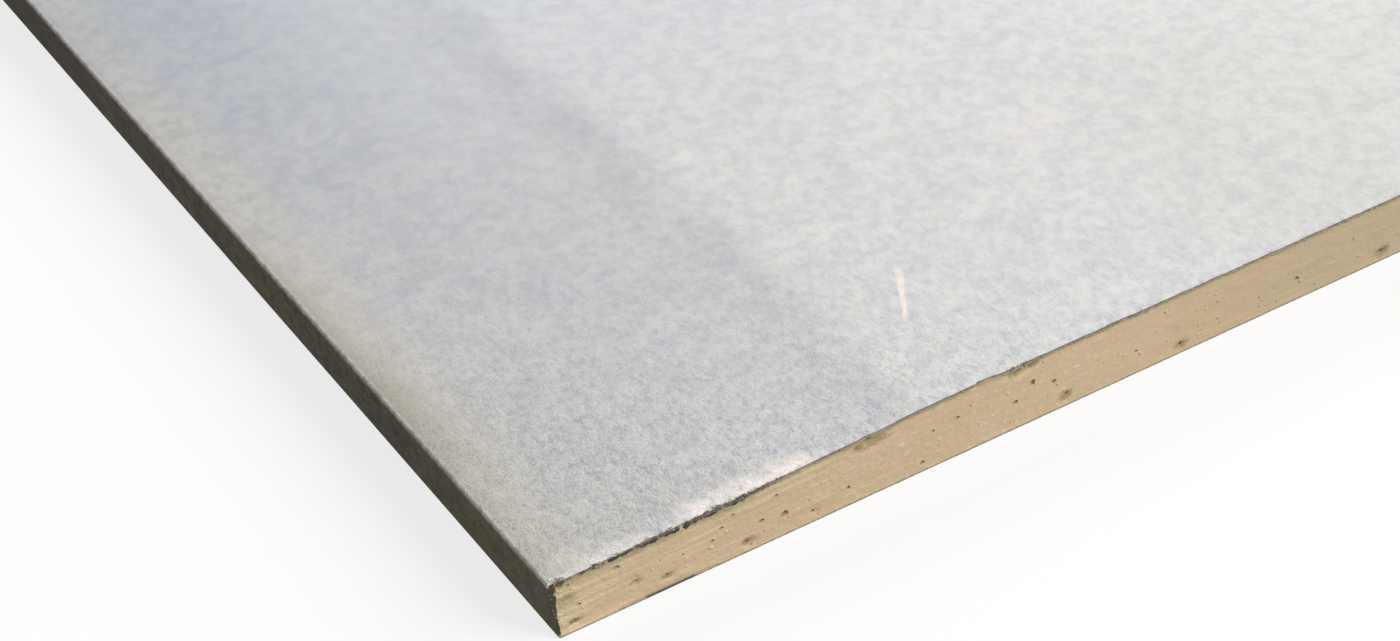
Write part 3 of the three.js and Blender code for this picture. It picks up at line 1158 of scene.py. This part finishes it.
def gypsum_finish():
    material, point = new_finish("sawn gypsum")
    at = Place(point)
    by = PlasterPatterns(point, at)
    deep = at.cut - CUT_BACK / MM
    pit = point.node("ShaderNodeAttribute", {"attribute_name": "pit"}, {}, 2)
    proud = deep.rise(-0.02, -0.08) * at.z.rise(1.5, 2.0) * at.left.rise(50, 30)
    colour = layered(
        point, (0.82, 0.62, 0.39),
        *plaster_layers(at, by),
        *smudge_and_shade_layers(point, at, by),
        # Darker the deeper a place lies and inside the pits: olive stain, and painted shade of the recesses.
        ((0.42, 0.33, 0.165), deep.rise(0.12, 0.28) * 0.6),
        ((0.33, 0.255, 0.125), pit * (by.crumbs.rise(0.3, 0.6) * 0.4 + 0.45)),
        ((0.22, 0.165, 0.08), deep.rise(0.35, 0.8) * 0.6),
        ((0.92, 0.80, 0.50), proud * 0.6),
    )
    height = (by.grain * 0.5 + by.smear * 0.25 + by.crumbs * 0.6) * (1 - 0.45 * at.left.rise(30, 115))
    return finished(material, colour, 0.95, height, 0.2 * MM)


plaster_finish = gypsum_finish()

# %% Dress the sheet
make_piece("cast_plaster", build_core(), [plaster_finish], "gypsum_core")
make_piece("felted_face_paper", build_paper("face_paper"), [face_finish, plies_finish],
           "face_paper", sharp=9)
make_piece("recycled_back_paper", build_paper("back_paper"), [back_finish, back_plies],
           "back_paper")

# %% [markdown]
# ## Fibres, crumbs and torn flakes
#
# Some detail stands free of any surface. Fibres hang out of the crushed paper, crumbs of plaster stick to
# the cut, and at the near corner two flakes of paper have lifted. Fibres and crumbs could be a hair
# system, but that is slow to change and has to be made a mesh in the end. Here each kind is one small
# template, a thin cone or a lumpy ball, that is copied many times into one mesh.


# %% Copy a template many times
def straight_fibre():
    """A three-sided cone of unit length along Z, cut into four so that it can bend."""
    mesh = bmesh.new()
    bmesh.ops.create_cone(mesh, cap_ends=True, segments=3, radius1=0.5, radius2=0.2, depth=1)
    sides = [edge for edge in mesh.edges if abs(edge.verts[0].co.z - edge.verts[1].co.z) > 0.5]
    bmesh.ops.subdivide_edges(mesh, edges=sides, cuts=3, use_grid_fill=True)
    bmesh.ops.translate(mesh, verts=mesh.verts, vec=(0, 0, 0.5))
    return as_data("fibre template", mesh)


def lump():
    """A ball of unit radius with dents."""
    mesh = bmesh.new()
    bmesh.ops.create_icosphere(mesh, subdivisions=2, radius=1)
    for corner in mesh.verts:
        corner.co *= 1 + 0.35 * noise.noise(1.3 * corner.co)
    return as_data("crumb template", mesh)


def copied(source, places):
    """A mesh with one copy of a template for each placing function, which moves the copy's corners."""
    mesh = bmesh.new()
    for place in places:
        before = len(mesh.verts)
        mesh.from_mesh(source)
        mesh.verts.ensure_lookup_table()
        for corner in mesh.verts[before:]:
            corner.co = place(corner.co)
    print(len(places), "copies of the", source.name)
    return mesh


# %% Place a fibre
SIDE_FIBRES = 150  # along the cut edge of the left side
FIBRES_PER_METRE = 30000  # tries, most of which fall where the paper isn't torn
TORN_STRETCH = 90 * MM
FREE_TOP = THICKNESS - 1.4 * MM  # where the plaster reaches higher, no fibre stands up from it


def bent(root, heading, length, width, bend):
    """A placing function for a fibre that starts at a root and bends up or down as it goes."""
    ahead = Vector(heading).normalized()
    up = ahead.cross((0, 1, 0)).normalized()
    if up.z < 0:
        up = -up
    aside = ahead.cross(up)

    def place(co):
        curl = bend * length * co.z * co.z
        return Vector(root) + up * (co.x * width + curl) + aside * co.y * width + ahead * co.z * length

    return place


def face_fibre(dice):
    """A fibre of the front cut's upper edge, or None if it would fall where the paper isn't torn."""
    x = dice.uniform(-HALF_WIDTH + 1.5 * MM, HALF_WIDTH - 1.5 * MM)
    worn = crushed(x, FRONT)
    crowd = 0.9 if x < LEFT_EDGE + TORN_STRETCH else 0.1
    if dice.random() > 0.008 + crowd * worn:
        return None
    top = height_on(upper_line, x)
    free = top < FREE_TOP
    y = -HALF_LENGTH + dice.uniform(0.08, 0.14) * MM
    z = top - dice.uniform(-0.25, 0.3 + 0.3 * worn) * MM
    heading = (dice.uniform(-1.2, 1.2), dice.uniform(0, 0.06), dice.uniform(-1, 0.25 if free else 0))
    length = dice.uniform(0.25, 0.55 + 0.45 * worn) * MM
    width = dice.uniform(0.07, 0.14) * MM
    return bent((x, y, z), heading, length, width, dice.uniform(-0.5, 0.5 if free else 0))


def side_fibre(dice):
    """A fibre of the cut edge down the left side."""
    z = dice.uniform(1, 10.4) * MM
    lip = dice.uniform(-0.1, 0.15 + 0.6 * ease(z, 4 * MM, 10 * MM)) * MM
    across = float(np.interp(z, (0, 10.4 * MM), (reach_foot, reach_top)))
    root = (-across - 0.05 * MM + lip, -HALF_LENGTH + dice.uniform(0.1, 0.16) * MM, z)
    heading = (dice.uniform(-0.3, 1), dice.uniform(0, 0.06), dice.uniform(-1.2, 1))
    width = dice.uniform(0.08, 0.15) * MM
    return bent(root, heading, dice.uniform(0.25, 0.5) * MM, width, dice.uniform(-0.5, 0.5))


# %% Hang the fibres
def fibre_finish():
    material, point = new_finish("loose fibres")
    grain = point.noise(0.8, 1.0)
    colour = layered(
        point, (0.15, 0.13, 0.09),
        ((0.66, 0.61, 0.52), grain.rise(0.52, 0.66)),
        ((0.13, 0.11, 0.08), Place(point).side.rise(3.0, 2.0) * 0.75),
    )
    return finished(material, colour, 0.85, grain, 0.02 * MM)


def hang_fibres():
    dice = random.Random(5)
    places = [face_fibre(dice) for _ in range(round(2 * HALF_WIDTH * FIBRES_PER_METRE))]
    places += [side_fibre(dice) for _ in range(SIDE_FIBRES)]
    return copied(straight_fibre(), [place for place in places if place])


make_piece("torn_fibres", hang_fibres(), [fibre_finish()])

# %% Scatter the crumbs
CRUMBS_PER_METRE = 240
CRUMB_DEPTH = 0.09 * MM  # half of how far a crumb stands out of the cut


def crumb_spots(dice):
    """Where crumbs stick: beside every other placed pit, anywhere on the cut, and at its left rim."""
    spots = [(LEFT_EDGE + (x + 0.9) * MM, (z - 0.9) * MM) for x, z, *_ in PLACED_PITS[::2]]
    for _ in range(round(2 * HALF_WIDTH * CRUMBS_PER_METRE)):
        spots.append((dice.uniform(-HALF_WIDTH + 2 * MM, HALF_WIDTH - 2 * MM), dice.uniform(1, 12) * MM))
    spots += [(LEFT_EDGE + dice.uniform(0.3, 1.2) * MM, dice.uniform(2, 10) * MM) for _ in range(16)]
    return spots


def crumb(dice, x, z):
    """A placing function for a crumb at a spot, or just below the face paper if the spot is too high."""
    z = min(z, height_on(upper_line, x) - 0.5 * MM)
    size = dice.uniform(0.12, 0.4) * MM
    middle = Vector((x + dice.uniform(-0.3, 0.3) * MM, -HALF_LENGTH + CUT_BACK, z))
    stretch = Vector((size * dice.uniform(0.9, 1.4), CRUMB_DEPTH, size * dice.uniform(0.8, 1.1)))
    return lambda co: middle + co * stretch


def scatter_crumbs():
    dice = random.Random(8)
    return copied(lump(), [crumb(dice, *spot) for spot in crumb_spots(dice)])


make_piece("plaster_crumbs", scatter_crumbs(), [plaster_finish])

# %% Lift the flakes
# Flakes on the face at the front left corner: distance from the left edge, distance from the cut, half
# width, half depth and lift, in millimetres.
CORNER_FLAKES = ((0.8, 0.6, 0.6, 0.3, 0.3), (-0.3, 0.9, 0.4, 0.22, 0.08))
CORNER_TOP = THICKNESS - 2.05 * MM  # the height of the face there
FLAKE = 0.05 * MM  # thickness


def settle_order(mesh):
    """Sorts edges and faces by their corners, because solidify makes a rim in a new order each run."""
    mesh.verts.index_update()

    def place(part):
        numbers = [corner.index for corner in part.verts]
        return min(numbers) * len(mesh.verts) + max(numbers)

    mesh.edges.sort(key=place)
    mesh.faces.sort(key=place)


def lifted_flakes():
    """Small grids with a torn outline that curl up towards the cut."""
    mesh = bmesh.new()
    for at, inwards, wide, deep, lift in CORNER_FLAKES:
        middle = Vector((LEFT_EDGE + at * MM, -HALF_LENGTH + inwards * MM, CORNER_TOP))
        for corner in bmesh.ops.create_grid(mesh, x_segments=10, y_segments=6, size=1)["verts"]:
            u, v = corner.co.x, corner.co.y
            torn = 1 - 0.5 * u * u + 0.3 * rough(u, at, 0.5, 3)
            rise = lift * (0.5 * (1 - v) * (1 + 0.4 * rough(u, at, 0.6, 4)) + 0.1)
            corner.co = middle + Vector((u * wide, v * torn * deep, rise)) * MM
    bmesh.ops.solidify(mesh, geom=mesh.faces[:], thickness=FLAKE)
    bmesh.ops.recalc_face_normals(mesh, faces=mesh.faces)
    settle_order(mesh)
    return mesh


def flake_finish():
    material, point = new_finish("clean torn paper")
    grain = point.noise(0.3, 2.0)
    colour = layered(point, (0.86, 0.84, 0.81), ((0.6, 0.57, 0.52), grain.rise(0.45, 0.65)))
    return finished(material, colour, 0.8, grain, 0.04 * MM)


make_piece("lifted_flakes", lifted_flakes(), [flake_finish()])

# %% [markdown]
# ## Floor, light and camera
#
# The sheet lies on a pale floor that is far wider than any view of it. A large soft light in front and to
# the right reaches the face and the cut end, and leaves the left long edge in shade. A second one behind
# grazes the face, so that the paper brightens towards the far side as real paper does.


# %% The floor
def build_floor():
    mesh = bmesh.new()
    bmesh.ops.create_grid(mesh, x_segments=1, y_segments=1, size=60)
    floor = in_scene("floor", as_data("floor", mesh))
    material = bpy.data.materials.new("pale floor")
    material.use_nodes = True
    fill(material.node_tree.nodes["Principled BSDF"].inputs, {
        "Base Color": (0.2, 0.2, 0.2, 1), "Emission Color": (1, 1, 1, 1), "Emission Strength": 0.79,
        "Roughness": 0.9,
    })
    floor.data.materials.append(material)
    floor.visible_diffuse = False  # it glows, and would light the sheet from below
    floor.visible_glossy = False
    print("the floor is", floor.dimensions.x, "m wide")


build_floor()


# %% The lights
def soft_light(name, towards, distance, size, power):
    """A square area light that shines on the middle of the sheet from a direction."""
    data = bpy.data.lights.new(name, "AREA")
    data.size = size
    data.energy = power
    light = in_scene(name, data)
    direction = Vector(towards).normalized()
    light.location = direction * distance
    light.rotation_euler = direction.to_track_quat("Z", "Y").to_euler()
    light.visible_camera = False
    print("the", name, "light stands", round(light.location.z, 2), "m above the floor")


soft_light("key", (0.4, -0.8, 0.62), 6, 3, 266)
soft_light("back", (0.8, 0.46, 0.38), 6, 3.5, 400)

world = bpy.data.worlds.new("studio")
world.use_nodes = True
fill(world.node_tree.nodes["Background"].inputs, {"Color": (1, 1, 1, 1), "Strength": 0.2})
bpy.context.scene.world = world
bpy.context.scene.view_settings.view_transform = "Standard"

# %% The camera
AIM = Vector((-557.6, -1177.8, 6.35)) * MM
VIEW_AZIMUTH = math.radians(-33.63)
VIEW_ELEVATION = math.radians(37.82)
VIEW_DISTANCE = 389.6 * MM
LENS = 65.12
NEAREST = 20 * MM

camera_data = bpy.data.cameras.new("camera")
camera_data.lens = LENS
camera_data.clip_start = NEAREST
camera = in_scene("camera", camera_data)
backwards = Vector((
    math.sin(VIEW_AZIMUTH) * math.cos(VIEW_ELEVATION),
    -math.cos(VIEW_AZIMUTH) * math.cos(VIEW_ELEVATION),
    math.sin(VIEW_ELEVATION),
))
camera.location = AIM + backwards * VIEW_DISTANCE
camera.rotation_euler = (-backwards).to_track_quat("-Z", "Y").to_euler()
bpy.context.scene.camera = camera
print("the camera stands", round(camera.location.z, 3), "m above the floor")
